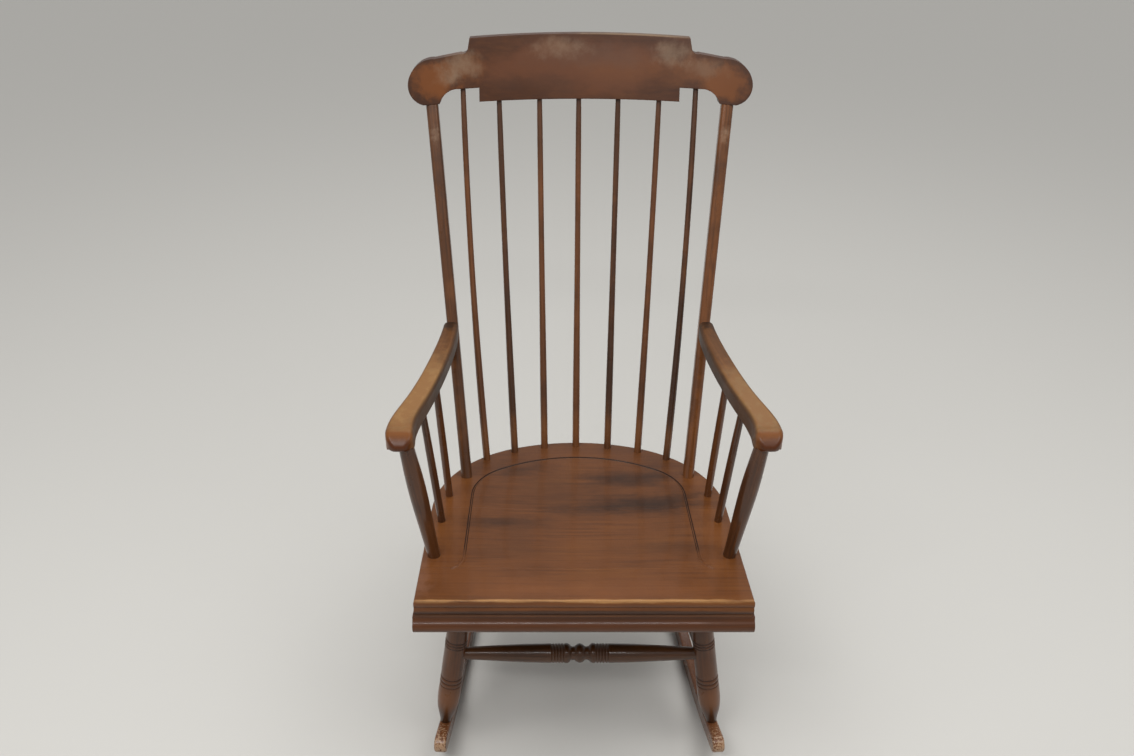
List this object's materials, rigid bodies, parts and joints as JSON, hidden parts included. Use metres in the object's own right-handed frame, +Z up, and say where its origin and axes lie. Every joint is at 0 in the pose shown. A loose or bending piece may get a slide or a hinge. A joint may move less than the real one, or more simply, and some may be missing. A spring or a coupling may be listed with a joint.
{
  "type": "boston rocking chair",
  "caption": "Wooden Boston rocking chair with a scrolled crest rail, slender spindle back, shaped arms, saddled plank seat with rolled front, turned legs and curved rockers.",
  "frame": {"origin": "bottom centre of the bounding box, on the floor under the middle of the chair's length and width", "axes": "+Z up, the chair faces -Y, +X to the viewer's right when looking at its front"},
  "size_m": [0.5964, 0.7398, 1.115],
  "materials": {
    "seat_pine": "stained and varnished pine, worn in the middle",
    "crest_maple": "reddish brown stained maple under old varnish",
    "spindle_birch": "dark brown stained birch under old varnish",
    "arm_cherry": "brown stained cherry, worn to light wood on top",
    "leg_birch": "turned birch, dark amber varnish",
    "rocker_birch": "glossy reddish brown varnish with scuffs",
    "dowel_maple": "plain turned dowel",
    "screw_steel": "plain steel",
    "nail_steel": "dark old steel"
  },
  "bodies": {
    "root": {"seat_front_board": "seat_pine", "seat_middle_board": "seat_pine", "seat_rear_board": "seat_pine", "seat_front_roll": "seat_pine", "seat_board_dowels": "dowel_maple", "crest_rail": "crest_maple", "back_post_left": "spindle_birch", "back_post_right": "spindle_birch", "back_spindle_1": "spindle_birch", "back_spindle_2": "spindle_birch", "back_spindle_3": "spindle_birch", "back_spindle_4": "spindle_birch", "back_spindle_5": "spindle_birch", "back_spindle_6": "spindle_birch", "back_spindle_7": "spindle_birch", "arm_left": "arm_cherry", "arm_right": "arm_cherry", "front_arm_post_left": "spindle_birch", "front_arm_post_right": "spindle_birch", "arm_spindle_left_front": "spindle_birch", "arm_spindle_left_rear": "spindle_birch", "arm_spindle_right_front": "spindle_birch", "arm_spindle_right_rear": "spindle_birch", "front_leg_left": "leg_birch", "front_leg_right": "leg_birch", "rear_leg_left": "leg_birch", "rear_leg_right": "leg_birch", "front_stretcher": "leg_birch", "rear_stretcher": "leg_birch", "side_stretcher_left": "leg_birch", "side_stretcher_right": "leg_birch", "rocker_left": "rocker_birch", "rocker_right": "rocker_birch", "rocker_pins": "dowel_maple", "arm_screws": "screw_steel", "arm_screw_plugs": "dowel_maple", "arm_nails": "nail_steel"}
  },
  "joints": []
}
